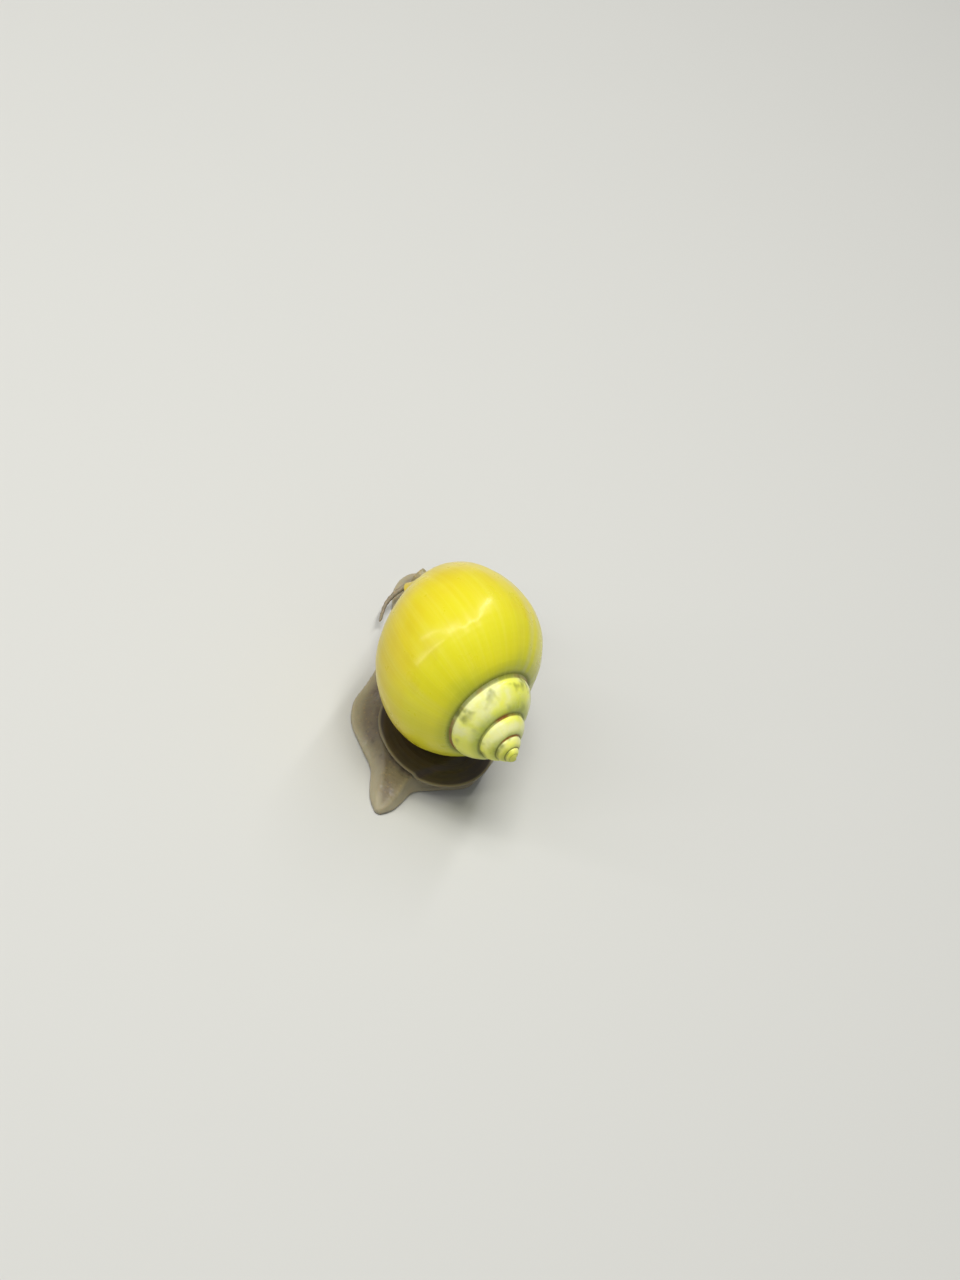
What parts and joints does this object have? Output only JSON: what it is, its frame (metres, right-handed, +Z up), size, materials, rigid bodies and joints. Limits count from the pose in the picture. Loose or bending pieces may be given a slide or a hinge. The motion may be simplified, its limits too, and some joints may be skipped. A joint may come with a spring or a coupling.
{
  "type": "apple snail",
  "caption": "Life-size museum model of a golden apple snail crawling, with a stepped spiral shell, broad foot and pointed tail.",
  "frame": {"origin": "on the flat of the sole, under the middle of the animal", "axes": "+Z up, -Y towards the head, +X towards the animal's left side"},
  "size_m": [0.0326, 0.0586, 0.0334],
  "materials": {
    "shell": "lemon-golden shell with a satin gloss, paler on the spire",
    "operculum": "brown horny plate with fine concentric lines",
    "flesh": "moist greyish-tan skin with a fine grain and a pale margin",
    "mantle": "moist yellowish-tan skin",
    "eye": "glossy black"
  },
  "bodies": {
    "root": {"body_column": "flesh", "eye_left": "eye", "eye_right": "eye", "eye_stalk_left": "flesh", "eye_stalk_right": "flesh", "foot_front": "flesh", "foot_middle": "flesh", "foot_tail": "flesh", "head": "flesh", "mantle_edge": "mantle", "neck": "flesh", "nuchal_lobe_right": "mantle", "operculum": "operculum", "palp_left": "flesh", "palp_right": "flesh", "shell": "shell", "siphon": "mantle", "snout": "flesh", "tentacle_left_base": "flesh", "tentacle_left_middle": "flesh", "tentacle_left_tip": "flesh", "tentacle_right_base": "flesh", "tentacle_right_middle": "flesh", "tentacle_right_tip": "flesh"}
  },
  "joints": []
}
